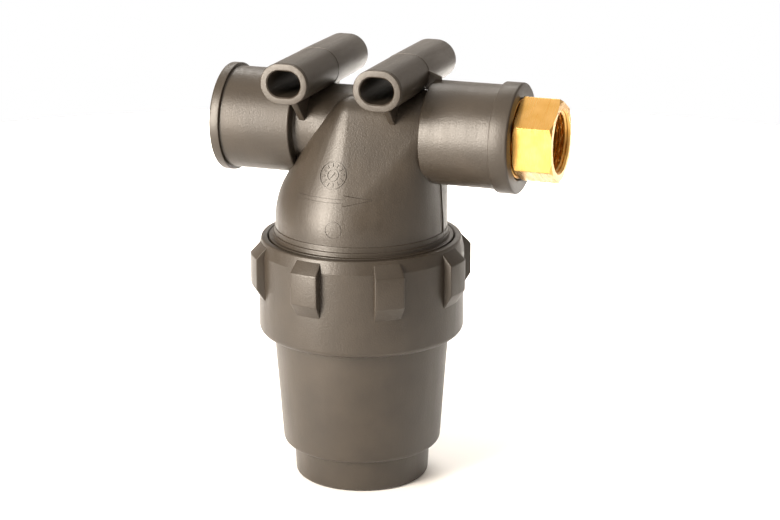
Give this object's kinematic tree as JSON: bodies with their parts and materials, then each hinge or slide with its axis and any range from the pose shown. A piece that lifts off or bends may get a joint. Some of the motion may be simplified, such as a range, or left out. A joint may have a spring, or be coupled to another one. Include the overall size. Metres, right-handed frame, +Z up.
{
  "type": "inline mesh filter",
  "caption": "Inline mesh filter for water or spray lines: moulded head with two ports and mounting tubes, brass outlet adapter and screw-on bowl.",
  "frame": {"origin": "centre of the bowl's flat underside", "axes": "+Z up along the bowl's axis, +X along the ports' axis towards the outlet"},
  "size_m": [0.1508, 0.0974, 0.1912],
  "materials": {
    "head_nylon": "satin moulded",
    "bowl_nylon": "satin moulded",
    "brass": "machined",
    "seal_rubber": "matt",
    "cartridge_plastic": "moulded",
    "stainless_steel": "woven mesh"
  },
  "bodies": {
    "head": {"head": "head_nylon", "inlet_insert": "brass", "outlet_insert": "brass", "outlet_adapter": "brass", "bowl_seal": "seal_rubber"},
    "cartridge": {"cartridge_top_cap": "cartridge_plastic", "cartridge_bottom_cap": "cartridge_plastic", "cartridge_cage": "cartridge_plastic", "cartridge_mesh": "stainless_steel", "cartridge_gasket": "seal_rubber"},
    "bowl": {"bowl": "bowl_nylon"}
  },
  "joints": [
    {"name": "cartridge_drop", "type": "slide", "parent": "head", "child": "cartridge", "axis": [0, 0, -1], "range_m": [0, 0.012]},
    {"name": "bowl_turn", "type": "hinge", "parent": "cartridge", "child": "bowl", "pos_m": [0, 0, 0.1], "axis": [0, 0, -1], "range_deg": [0, 1080]}
  ],
  "couplings": [
    {"joint": "cartridge_drop", "follows": "bowl_turn", "m_per_rad": 0.00063661}
  ]
}
